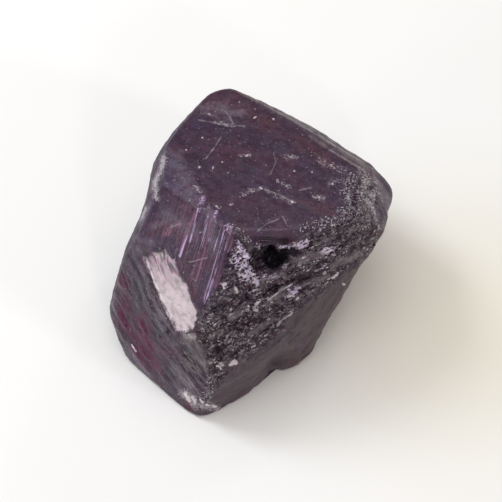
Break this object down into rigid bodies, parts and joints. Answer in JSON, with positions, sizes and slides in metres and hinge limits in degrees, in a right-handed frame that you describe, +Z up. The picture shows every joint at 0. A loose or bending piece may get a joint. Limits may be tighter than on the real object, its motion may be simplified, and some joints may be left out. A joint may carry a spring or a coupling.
{
  "type": "raw crystal specimen",
  "caption": "Loose dark purple raw crystal with flat worn faces, a rough broken band, a pale chip and a flat underside that it rests on.",
  "frame": {"origin": "on the resting surface, under the middle of the stone's box", "axes": "+Z up from the resting surface, +Y along the longest side, away from the broken front"},
  "size_m": [0.0308, 0.0332, 0.0211],
  "materials": {
    "amethyst": "satin"
  },
  "bodies": {
    "root": {"crystal": "amethyst"}
  },
  "joints": []
}
